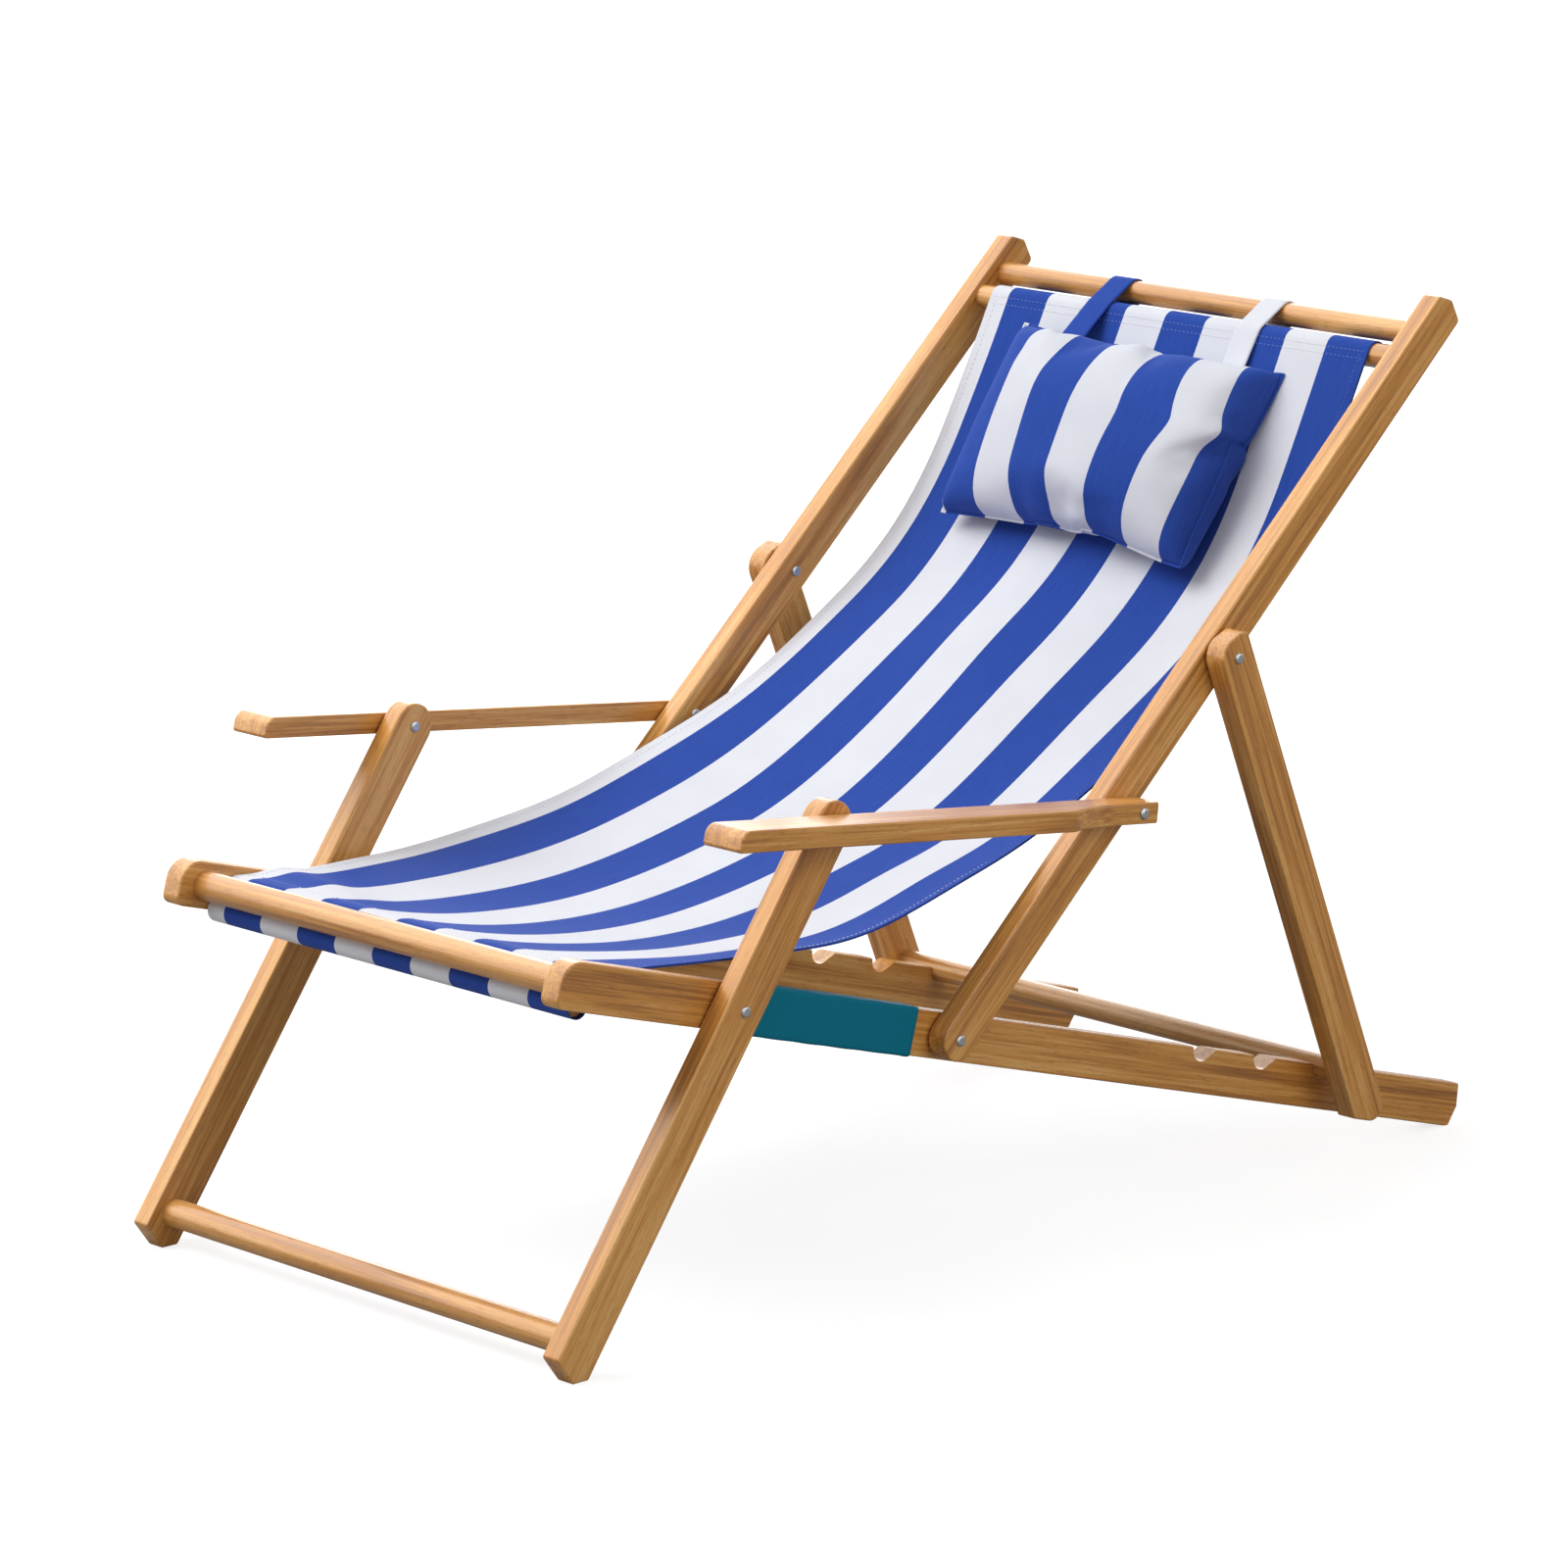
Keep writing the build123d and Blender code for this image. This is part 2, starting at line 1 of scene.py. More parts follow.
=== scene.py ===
# %% [markdown]
# # A folding beach chair, dressed
# The chair's timbers, bars and bolts arrive as exact solids in one shared frame: metres, +Z up, +Y to the
# rear and +X to the sitter's left. This lesson gives them wood and steel finishes, then makes the soft
# pieces that solids can't show well: the striped canvas seat, the stuffed head pillow with its two straps,
# and the teal cloth wrap.

# %% Load the frame
import math
import bpy
import numpy as np
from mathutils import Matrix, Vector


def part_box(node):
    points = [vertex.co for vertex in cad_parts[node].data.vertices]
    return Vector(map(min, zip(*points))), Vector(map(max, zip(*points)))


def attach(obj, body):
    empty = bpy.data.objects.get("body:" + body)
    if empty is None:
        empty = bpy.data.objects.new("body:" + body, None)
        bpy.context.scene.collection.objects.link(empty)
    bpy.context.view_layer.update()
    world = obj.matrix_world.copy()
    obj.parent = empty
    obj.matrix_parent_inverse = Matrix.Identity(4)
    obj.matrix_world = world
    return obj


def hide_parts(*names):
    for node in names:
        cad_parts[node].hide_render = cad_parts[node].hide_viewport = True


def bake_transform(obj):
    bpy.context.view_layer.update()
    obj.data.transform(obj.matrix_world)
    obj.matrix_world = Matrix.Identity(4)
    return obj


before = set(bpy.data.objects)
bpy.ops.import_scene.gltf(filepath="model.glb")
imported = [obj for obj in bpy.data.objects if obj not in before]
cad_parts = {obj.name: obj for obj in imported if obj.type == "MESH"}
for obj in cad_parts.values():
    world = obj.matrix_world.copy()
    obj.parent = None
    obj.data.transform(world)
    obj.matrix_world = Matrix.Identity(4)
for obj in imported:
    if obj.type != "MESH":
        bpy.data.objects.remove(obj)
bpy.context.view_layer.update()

MM = 0.001
scene = bpy.context.scene

# %% [markdown]
# ## Small helpers
# Colours are written as the hex values a painter would pick on a screen, and one function turns them to
# the linear values that shaders want. A second adds a shader node with its settings and links, and four
# short ones use it for the nodes that come back often. The rest turn grids of points into meshes with a UV
# map in metres, so that a pattern can be drawn at its real size on cloth.

# %% Helpers for colours and nodes


def linear(hex_code):
    """sRGB hex to linear RGBA: c/12.92 below 0.04045, else ((c + 0.055) / 1.055) to the power 2.4."""
    c = np.array([int(hex_code[i:i + 2], 16) for i in (1, 3, 5)]) / 255
    return (*np.where(c <= 0.04045, c / 12.92, ((c + 0.055) / 1.055) ** 2.4), 1.0)


def add_node(tree, kind, inputs=None, **settings):
    """Adds a node, sets its properties, then sets or links each input by name or number."""
    node = tree.nodes.new(kind)
    for key, value in settings.items():
        setattr(node, key, value)
    for key, value in (inputs or {}).items():
        if isinstance(value, bpy.types.NodeSocket):
            tree.links.new(value, node.inputs[key])
        else:
            node.inputs[key].default_value = value
    return node


def noise(tree, place, size, detail, **more):
    """Noise from 0 to 1 whose spots are about size wide."""
    inputs = {"Vector": place, "Scale": 1 / size, "Detail": detail, **more}
    return add_node(tree, "ShaderNodeTexNoise", inputs).outputs["Fac"]


def remap(tree, value, low, high, to_low, to_high, **settings):
    """A value that runs from low to high, moved to run from to_low to to_high and held at both ends."""
    ends = {"From Min": low, "From Max": high, "To Min": to_low, "To Max": to_high}
    return add_node(tree, "ShaderNodeMapRange", {"Value": value, **ends}, **settings).outputs[0]


def two_tone(tree, share, first, second):
    """A colour between two: first times (1 - share) plus second times share."""
    return add_node(tree, "ShaderNodeMix", {0: share, 6: first, 7: second}, data_type="RGBA").outputs[2]


def arithmetic(tree, operation, *values):
    """The result of one Math node on two or three values."""
    return add_node(tree, "ShaderNodeMath", dict(enumerate(values)), operation=operation).outputs[0]


def new_material(name):
    """An empty node material with its output node."""
    material = bpy.data.materials.new(name)
    material.use_nodes = True
    material.node_tree.nodes.clear()
    output = add_node(material.node_tree, "ShaderNodeOutputMaterial")
    return material, material.node_tree, output


# %% Helpers for objects and grids


def add_object(name, data):
    """An object of a mesh, lamp or camera, in the scene."""
    thing = bpy.data.objects.new(name, data)
    scene.collection.objects.link(thing)
    return thing


def set_uv(mesh, uv):
    """Writes one UV place per vertex to each face corner that uses the vertex."""
    vertex_of = np.empty(len(mesh.loops), dtype=np.int32)
    mesh.loops.foreach_get("vertex_index", vertex_of)
    mesh.uv_layers.new(name="UVMap").data.foreach_set("uv", uv.reshape(-1, 2)[vertex_of].ravel())


def grid_object(name, points, uv=None, closed_u=False, closed_v=False, material=None):
    """A mesh from arrays of points (..., rows, columns, 3): each cell of each grid is one quad."""
    rows, columns = points.shape[-3:-1]
    i = np.arange(rows if closed_u else rows - 1)[:, None]
    j = np.arange(columns if closed_v else columns - 1)[None, :]
    i2, j2 = (i + 1) % rows, (j + 1) % columns
    around = (i * columns + j, i * columns + j2, i2 * columns + j2, i2 * columns + j)
    cells = np.stack(np.broadcast_arrays(*around), -1)
    starts = np.arange(points.size // (rows * columns * 3)) * rows * columns
    quads = (starts[:, None, None] + cells.reshape(1, -1, 4)).reshape(-1, 4)
    mesh = bpy.data.meshes.new(name)
    mesh.from_pydata(points.reshape(-1, 3), [], quads)
    if uv is not None:
        set_uv(mesh, uv)
    mesh.polygons.foreach_set("use_smooth", np.ones(len(mesh.polygons), dtype=bool))
    mesh.update()
    if material is not None:
        mesh.materials.append(material)
    return add_object(name, mesh)


def thicken(piece, thickness):
    """Gives a sheet its cloth thickness, half to each side."""
    wall = piece.modifiers.new("thickness", "SOLIDIFY")
    wall.thickness = thickness
    wall.offset = 0.0


def unit(vectors):
    """Vectors divided by their own lengths."""
    return vectors / np.linalg.norm(vectors, axis=-1)[..., None]


# %% [markdown]
# ## Camera, light and floor
# The camera stands 46 degrees round to the sitter's left and a little under 13 degrees up, with a long
# lens. A soft key lamp stands before the sitter's right, so the narrow front edges of the timbers are
# bright and their broad left sides are darker. The key is left out of reflections: the lacquer mirrors a
# broad window instead. The paper floor glows for the camera only, a little less under the chair, which
# leaves a soft shadow on white without putting more light on the chair.

# %% Camera
AZIMUTH, ELEVATION = 46.283, 12.719
FOCAL_PIXELS, PICTURE_PIXELS, SENSOR = 6790.4, 1600, 36.0
camera_data = bpy.data.cameras.new("camera")
camera_data.sensor_width = SENSOR
camera_data.lens = FOCAL_PIXELS * SENSOR / PICTURE_PIXELS
camera_data.clip_end = 60.0
camera = add_object("camera", camera_data)
camera.location = (4.1734, -4.0439, 1.6846)
camera.rotation_euler = (math.radians(90 - ELEVATION), 0.0, math.radians(AZIMUTH))
scene.camera = camera
scene.view_settings.view_transform = "Standard"
print("camera lens (mm):", round(camera_data.lens, 2))

# %% Lamps and sky
WHITE = (1, 1, 1, 1)


def soft_lamp(name, location, target, size, power, gloss=True):
    """A square area lamp that faces a target point and may be left out of glossy reflections."""
    lamp = bpy.data.lights.new(name, "AREA")
    lamp.size = size
    lamp.energy = power
    holder = add_object(name, lamp)
    holder.location = location
    x, y, z = np.array(target) - np.array(location)
    holder.rotation_euler = (math.atan2(math.hypot(x, y), -z), 0.0, math.atan2(-x, y))
    holder.visible_glossy = gloss


soft_lamp("key", (-2.4, -2.3, 4.4), (0, 0, 0.4), 4.0, 228, gloss=False)
soft_lamp("fill", (3.8, 0.5, 1.8), (0, 0, 0.4), 2.0, 34)
soft_lamp("rim", (-3.4, 3.4, 1.7), (0, 0, 0.5), 2.4, 55)

# The window is a glow that rises towards its middle, for glossy rays only. The camera sees plain white.
WINDOW, WINDOW_EDGE, WINDOW_MIDDLE = (-0.68, -0.35, 0.64), 0.3, 0.95
world = bpy.data.worlds.new("studio")
world.use_nodes = True
sky = world.node_tree
sky.nodes.clear()
rays = add_node(sky, "ShaderNodeLightPath").outputs
seen = arithmetic(sky, "MAXIMUM", rays["Is Camera Ray"], rays["Is Glossy Ray"])
way = add_node(sky, "ShaderNodeTexCoord").outputs["Generated"]
facing = add_node(sky, "ShaderNodeVectorMath", {0: way, 1: WINDOW}, operation="DOT_PRODUCT").outputs["Value"]
window = remap(sky, facing, WINDOW_EDGE, WINDOW_MIDDLE, 1.0, 3.6)
strength = add_node(sky, "ShaderNodeMix", {0: rays["Is Camera Ray"], 2: window, 3: 1.0}).outputs[0]
light = add_node(sky, "ShaderNodeBackground", {"Color": WHITE, "Strength": 0.45}).outputs[0]
backdrop = add_node(sky, "ShaderNodeBackground", {"Color": WHITE, "Strength": strength}).outputs[0]
mix = add_node(sky, "ShaderNodeMixShader", {0: seen, 1: light, 2: backdrop})
add_node(sky, "ShaderNodeOutputWorld", {"Surface": mix.outputs[0]})
scene.world = world

# %% Paper floor
# Matt paper shows no gloss. Its glow for the camera rises to 1.0, pure white, away from the chair.
FLOOR_HALF, GLOW_START, GLOW_END, GLOW_LOW = 14, 0.9, 2.6, 0.78
floor_material, tree, output = new_material("studio paper, matt white")
rays = add_node(tree, "ShaderNodeLightPath").outputs
place = add_node(tree, "ShaderNodeTexCoord").outputs["Object"]
distance = add_node(tree, "ShaderNodeVectorMath", {0: place}, operation="LENGTH").outputs["Value"]
fade = remap(tree, distance, GLOW_START, GLOW_END, GLOW_LOW, 1.0, interpolation_type="SMOOTHSTEP")
paper = add_node(tree, "ShaderNodeBsdfDiffuse", {"Color": (0.34, 0.34, 0.34, 1)}).outputs[0]
shade = add_node(tree, "ShaderNodeBsdfDiffuse", {"Color": (0.40, 0.40, 0.40, 1)}).outputs[0]
glow = add_node(tree, "ShaderNodeEmission", {"Color": WHITE, "Strength": fade}).outputs[0]
lit = add_node(tree, "ShaderNodeAddShader", {0: shade, 1: glow}).outputs[0]
mix = add_node(tree, "ShaderNodeMixShader", {0: rays["Is Camera Ray"], 1: paper, 2: lit})
tree.links.new(mix.outputs[0], output.inputs["Surface"])
side = np.linspace(-FLOOR_HALF, FLOOR_HALF, 5)
floor_points = np.stack(np.meshgrid(side, side, indexing="xy") + [np.zeros((5, 5))], -1)
grid_object("floor", floor_points, material=floor_material)

# %% [markdown]
# ## Lacquered hardwood
# The timbers are honey-coloured hardwood under a satin lacquer. Three things make it read as wood: broad
# bands of tone along the board, thin streaks that run with them, and short dark pores. The clear coat over
# all three gives the pale gloss of the front edges. The pattern must run along each timber, so a Mapping
# node first turns the coordinates by the timber's own angle. Pores are drawn 1.2 mm wide, coarser than
# real ones, because finer ones would be lost.

# %% Wood finishes
# Width and length in mm, detail and wander of the bands, the streaks and the pores.
GRAIN = ((18, 420, 2.0, 0.8), (2.6, 150, 3.0, 0.2), (1.2, 14, 1.0, 0.0))
PORE_COLOUR = "#7C4A20"


def lacquered_wood(name, angle=None, pale="#E3AE66", mid="#CD8D3E", dark="#9D642B", shift=0.0, coat=0.5):
    """Hardwood with its grain along a timber at an angle in the side view, or along X when angle is None:
    the tone is 0.5 times a broad noise and 0.5 times a fine one, both stretched along the grain, less the
    pores."""
    material, tree, output = new_material(name)
    place = add_node(tree, "ShaderNodeTexCoord").outputs["Object"]
    turn = (0, 0, math.radians(90)) if angle is None else (math.radians(-angle), 0, 0)
    turned = {"Vector": place, "Rotation": turn, "Location": (shift, shift * 3, shift * 2)}
    along = add_node(tree, "ShaderNodeMapping", turned).outputs[0]
    noises = []
    for width, length, detail, wander in GRAIN:
        scale = (1 / (width * MM), 1 / (length * MM), 1 / (width * MM))
        stretched = add_node(tree, "ShaderNodeMapping", {"Vector": along, "Scale": scale}).outputs[0]
        noises.append(noise(tree, stretched, 1.0, detail, Roughness=0.55, Distortion=wander))
    band, streak, speck = noises
    tone = add_node(tree, "ShaderNodeMix", {0: 0.5, 2: band, 3: streak}).outputs[0]
    ramp = add_node(tree, "ShaderNodeValToRGB", {"Fac": tone})
    stops = ramp.color_ramp.elements
    stops[0].position, stops[0].color = 0.36, linear(dark)
    stops[1].position, stops[1].color = 0.64, linear(pale)
    stops.new(0.50).color = linear(mid)
    pore = remap(tree, speck, 0.60, 0.70, 0.0, 0.35)
    colour = two_tone(tree, pore, ramp.outputs["Color"], linear(PORE_COLOUR))
    rough = remap(tree, streak, 0.3, 0.7, 0.36, 0.5)
    bump = add_node(tree, "ShaderNodeBump", {"Strength": 0.12, "Distance": 0.3 * MM, "Height": streak})
    surface = add_node(tree, "ShaderNodeBsdfPrincipled", {
        "Base Color": colour, "Roughness": rough, "Normal": bump.outputs[0],
        "IOR": 1.5, "Specular IOR Level": 0.4,
        "Coat Weight": coat, "Coat Roughness": 0.2, "Coat IOR": 1.5})
    tree.links.new(surface.outputs[0], output.inputs["Surface"])
    return material


def dress(material, *names):
    """Gives CAD nodes a material in place of the one they came with."""
    for name in names:
        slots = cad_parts[name].data.materials
        slots.clear()
        slots.append(material)


# Degrees above +Y in the side view, and a shift so that no two timbers show the same grain.
RAIL_ANGLE = -15.74
TIMBERS = (("seat_rail", RAIL_ANGLE, 0.0), ("back_rail", 42.4, 1.7), ("front_leg", 54.16, 3.1),
           ("armrest", -6.55, 4.3), ("prop", -67.41, 5.9))
BAR_COLOURS = dict(pale="#E3AE6A", mid="#D1944C", dark="#AC7236")
for family, angle, shift in TIMBERS:
    wood = lacquered_wood(f"lacquered hardwood, {family.replace('_', ' ')}", angle, shift=shift)
    dress(wood, f"{family}_left", f"{family}_right")
bar_ends = ("_crossbar", "_sling_bar", "_stretcher", "_dowel")
bars = [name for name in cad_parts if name.endswith(bar_ends)]
dress(lacquered_wood("lacquered hardwood, turned bars", shift=7.7, coat=0.6, **BAR_COLOURS), *bars)
print("turned bars:", len(bars))

# %% [markdown]
# ## Steel pivots
# Domed bolts, cap nuts and washers are zinc-plated steel: a metal whose plating is slightly blotchy, so
# its roughness varies over about a millimetre, and whose low dome shows one small highlight in a dark
# ring.

# %% Plated steel
steel, tree, output = new_material("zinc-plated steel, domed and tumbled")
place = add_node(tree, "ShaderNodeTexCoord").outputs["Object"]
blotch = noise(tree, place, 1.1 * MM, 3.0)
surface = add_node(tree, "ShaderNodeBsdfPrincipled", {
    "Base Color": two_tone(tree, blotch, linear("#94979A"), linear("#D3D6D8")),
    "Metallic": 1.0, "Roughness": remap(tree, blotch, 0.0, 1.0, 0.24, 0.5)})
tree.links.new(surface.outputs[0], output.inputs["Surface"])
hardware = [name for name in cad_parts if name.endswith(("_bolts", "_nuts", "_washers"))]
dress(steel, *hardware)
print("steel pieces:", len(hardware))

# %% [markdown]
# ## Striped canvas
# The seat and pillow are plain-woven cotton canvas with 50 mm stripes in blue and white. The stripes are
# drawn from the cloth's own UV map, whose first number is the distance across the cloth in metres, so they
# follow every fold. Dyed yarn is uneven, so the blue carries thin slubs along the warp and the white a
# faint clouding. The weave is drawn at 1.6 mm, coarser than real canvas, because real threads would be
# lost in the picture.

# %% Canvas finish
STRIPE = 50.5 * MM
WEAVE = 1.6 * MM
SLUB_W, SLUB_L, CLOUD, RAGGED = 1.2 * MM, 30 * MM, 70 * MM, 0.5 * MM
BLUES, WHITES = ("#1F3D92", "#3153AC"), ("#DBDDE6", "#E8EAF0")


def canvas(name, blue_from=None, plain=None, blues=BLUES, whites=WHITES):
    """Canvas that is blue from blue_from (metres across the cloth) for every other stripe, or plain blue or
    white. The weave's height is the larger of two crossed rows of rounded threads."""
    material, tree, output = new_material(name)
    uv = add_node(tree, "ShaderNodeUVMap", uv_map="UVMap").outputs[0]
    long_spots = {"Vector": uv, "Scale": (1 / SLUB_W, 1 / SLUB_L, 1)}
    slub = add_node(tree, "ShaderNodeMapping", long_spots).outputs[0]
    blue = two_tone(tree, noise(tree, slub, 1.0, 3.0), *map(linear, blues))
    white = two_tone(tree, noise(tree, uv, CLOUD, 4.0), *map(linear, whites))
    colour = blue if plain == "blue" else white
    if plain is None:
        across = add_node(tree, "ShaderNodeSeparateXYZ", {0: uv}).outputs["X"]
        jitter = arithmetic(tree, "MULTIPLY_ADD", noise(tree, uv, 3 * MM, 2.0), RAGGED, across)
        phase = arithmetic(tree, "ADD", jitter, -blue_from)
        turn = arithmetic(tree, "FLOORED_MODULO", phase, 2 * STRIPE)
        is_white = arithmetic(tree, "GREATER_THAN", turn, STRIPE)
        colour = two_tone(tree, is_white, blue, white)
    fine = {"Vector": uv, "Scale": (1 / WEAVE, 1 / WEAVE, 1)}
    threads = add_node(tree, "ShaderNodeMapping", fine).outputs[0]
    # A wave texture of scale 0.3142 has one thread per unit.
    row = {"Vector": threads, "Scale": 0.3142, "Distortion": 0.4}
    waves = [add_node(tree, "ShaderNodeTexWave", row, bands_direction=way) for way in "XY"]
    weave = arithmetic(tree, "MAXIMUM", *[wave.outputs["Fac"] for wave in waves])
    bump = add_node(tree, "ShaderNodeBump", {"Strength": 0.3, "Distance": 0.3 * MM, "Height": weave})
    surface = add_node(tree, "ShaderNodeBsdfPrincipled", {
        "Base Color": colour, "Roughness": 0.82, "Normal": bump.outputs[0], "IOR": 1.47,
        "Sheen Weight": 0.03, "Sheen Roughness": 0.5, "Specular IOR Level": 0.2})
    tree.links.new(surface.outputs[0], output.inputs["Surface"])
    return material


# %% [markdown]
# ## The seat's path
# The seat is one strip of canvas. A sleeve sewn at each end holds a loose dowel, which wedges behind a
# pair of bars, so the strip can be slipped out and washed. In the side view it is a curve whose bend is
# known stretch by stretch, so the curve is found by adding up its heading along its length. Where the
# cloth slips from a bar to its dowel it runs along the inner tangent of two circles: its heading differs
# from the line of centres by the angle whose sine is the sum of the radii over the distance.

# %% Lines in the side view
CLOTH_OFF_BAR = 1.4 * MM


def heading_vector(angle):
    """Unit vector (y, z) for an angle in degrees above +Y."""
    return np.stack([np.cos(np.radians(angle)), np.sin(np.radians(angle))], -1)


def bent_line(start, heading, stretches, step=4 * MM):
    """Points of a line that turns evenly on each stretch (length, turn in degrees): headings add up, then
    steps do. A stretch gets a point every step and at least one every 8 degrees."""
    pieces = []
    for length, turn in stretches:
        count = max(int(round(length / step)), int(abs(turn) / 8), 2)
        pieces.append(np.stack([np.full(count, length / count), np.full(count, turn / count)], -1))
    steps = np.concatenate(pieces)
    ends = heading + np.cumsum(steps[:, 1])
    moves = heading_vector(ends - steps[:, 1] / 2) * steps[:, :1]
    return np.concatenate([[start], start + np.cumsum(moves, 0)]), np.concatenate([[heading], ends])


def lengths_along(path):
    """Distance of each point along a path: the lengths of its steps, added up."""
    return np.concatenate([[0], np.cumsum(np.hypot(*np.diff(path, axis=0).T))])


def arc(radius, turn):
    """(length, turn) of an arc, from its radius and its turn in degrees."""
    return (radius * math.radians(abs(turn)), turn)


def bearing(span):
    """Angle in degrees of a vector (y, z) above +Y."""
    return math.degrees(math.atan2(span[1], span[0]))


def middle(node):
    """Centre (y, z) and radius of a round bar that lies along X."""
    low, high = np.array(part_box(node))
    return ((low + high) / 2)[1:], (high - low)[2] / 2


def slip(span, direction):
    """Heading and length of the inner tangent between a bar's wrap and its dowel's sleeve."""
    gap = float(np.hypot(*span))
    lean = math.degrees(math.asin((wrap_r + sleeve_r) / gap))
    return bearing(span) + direction * lean, math.sqrt(gap**2 - (wrap_r + sleeve_r) ** 2)


# %% Side view of the seat
# The last bend, at the shoulders, is the one arc from the lumbar bend that meets the top bar's wrap
# smoothly.
FRONT_HEADING, SLEEVE_TURN = -7.2, 332
BENDS = [arc(1.35, 10), arc(1.02, 30), arc(0.42, 27)]
(front_bar, bar_r), (top_bar, _) = middle("front_sling_bar"), middle("top_sling_bar")
(front_dowel, dowel_r), (top_dowel, _) = middle("front_dowel"), middle("top_dowel")
wrap_r, sleeve_r = bar_r + CLOTH_OFF_BAR, dowel_r + CLOTH_OFF_BAR
front_slip, front_run = slip(front_bar - front_dowel, 1)
top_slip, top_run = slip(top_dowel - top_bar, -1)
bar_top = front_bar + heading_vector(90 + FRONT_HEADING) * wrap_r
to_lumbar, headings = bent_line(bar_top, FRONT_HEADING, BENDS)
side = heading_vector(headings[-1] + 90)
offset = to_lumbar[-1] - top_bar
shoulder_r = (offset @ offset - wrap_r**2) / (2 * (wrap_r - offset @ side))
shoulder_heading = bearing(to_lumbar[-1] + side * shoulder_r - top_bar) - 90

sleeve = arc(sleeve_r, SLEEVE_TURN)
front_wrap = arc(wrap_r, FRONT_HEADING - front_slip)
shoulder = arc(shoulder_r, shoulder_heading - headings[-1])
top_wrap = arc(wrap_r, top_slip - shoulder_heading)
strip_start = front_dowel + heading_vector(front_slip - 90 - SLEEVE_TURN) * sleeve_r
stretches = [sleeve, (front_run, 0), front_wrap, *BENDS, shoulder, top_wrap, (top_run, 0), sleeve]
seat_path, seat_heading = bent_line(strip_start, front_slip - SLEEVE_TURN, stretches)
seat_along = lengths_along(seat_path)
SEAT_LENGTH = float(seat_along[-1])
front_top = float(sleeve[0] + front_run + front_wrap[0])
top_edge = SEAT_LENGTH - float(sleeve[0] + top_run + top_wrap[0])
print("strip (m):", round(SEAT_LENGTH, 3), "hangs from", round(front_top, 3), "to", round(top_edge, 3))

# %% [markdown]
# ## The seat's cloth
# Worn canvas doesn't hang as a plain curved board. Between its two free edges it has stretched into a
# shallow dish, deepest under the sitter, and the left half hangs a little lower than the right. Each of
# these is one smooth function of the place along and across the cloth, and they add up along the curve's
# own normal. The edges also spread by a centimetre where the cloth lies over the rails.

# %% The seat's surface
# Heights off the plain curve and half widths, all in mm.
DISH, BELLY, DROOP, LUMBAR_FOLD, CORNER_FOLD, RIPPLE = 25, 9, 11, 6, 4, 1.0
HALF_FRONT, HALF_TOP, SPREAD = 234, 238.5, 13.5
SEAT_HALF = HALF_TOP * MM
SEAT_BLUE_FROM = -215.5 * MM


def ease(x, low, high):
    """Smooth step from 0 at low to 1 at high: 3 t squared less 2 t cubed."""
    t = np.clip((x - low) / (high - low), 0, 1)
    return t * t * (3 - 2 * t)


def swell(x, middle_at, width):
    """Bell curve with height 1 at its middle: exp of minus the square of (x - middle) / width."""
    return np.exp(-(((x - middle_at) / width) ** 2))


def seat_point(along, across, rise=0.0):
    """A point of the seat at a length along the strip and a place across it from -1 to 1, raised off the
    cloth: path plus normal times (dish + droop + folds + rise), and a half width that is wider between the
    rails."""
    y, z, heading = [np.interp(along, seat_along, values) for values in (*seat_path.T, seat_heading)]
    hang = (along > front_top) & (along < top_edge)
    y_mm = np.clip(y / MM, -485, 455)
    lie = np.where(hang, 1 - (1 - np.clip((y_mm + 482) / 282, 0, 1)) ** 2, 0)
    lumbar = ease(y_mm, -60, 200)
    hollow = np.clip(1 - across**2, 0, 1) ** (1.1 - 0.2 * across)
    dish = -DISH * lie * (1 - ease(y_mm, -40, 215)) * hollow
    belly = -BELLY * ease(y_mm, -100, 60) * (1 - ease(y_mm, 330, 452)) * swell(across, 0.62, 0.35)
    droop = -DROOP * swell(y_mm, -185, 120) * ease(across, 0.1, 1.0) + belly
    fold = LUMBAR_FOLD * swell(y_mm, 240, 60) * swell(across, -0.15, 0.2)
    fold = fold + CORNER_FOLD * swell(y_mm, -443, 20) * (1 - ease(across, -0.75, -0.35))
    ripple = RIPPLE * lie * np.sin(5 * across + y_mm / 34) * across**2 * (1 - ease(y_mm, 300, 440))
    lift = (dish + droop + np.where(hang, fold, 0) + ripple) * MM + rise
    wide = HALF_FRONT + SPREAD * ease(y_mm, -430, -320) * (1 - lumbar) + (HALF_TOP - HALF_FRONT) * lumbar
    half = np.where(hang, wide, np.where(y < 0, HALF_FRONT, HALF_TOP))
    normal = heading_vector(heading + 90)
    return np.stack([half * MM * across, y + normal[..., 0] * lift, z + normal[..., 1] * lift], -1)


across = np.sin(np.linspace(-math.pi / 2, math.pi / 2, 81))
along_grid, across_grid = np.meshgrid(seat_along, across, indexing="ij")
seat_uv = np.stack([across_grid * SEAT_HALF, along_grid], -1)
seat_canvas = canvas("cotton canvas, blue and white seat stripes", blue_from=SEAT_BLUE_FROM)
seat = grid_object("canvas_seat", seat_point(along_grid, across_grid), seat_uv, material=seat_canvas)
thicken(seat, 1.0 * MM)
print("seat cells:", len(seat.data.polygons))

# %% [markdown]
# ## Hems and stitches
# The long edges are turned under by 11 mm and sewn down, and rows of stitches close the sleeves. A hem is
# a narrow strip under the cloth. A stitch is a tiny spindle: four corners round its waist at two places,
# and a point at each end. All stitches are one array: the spindle's corners times each stitch's own
# length, width and height directions.

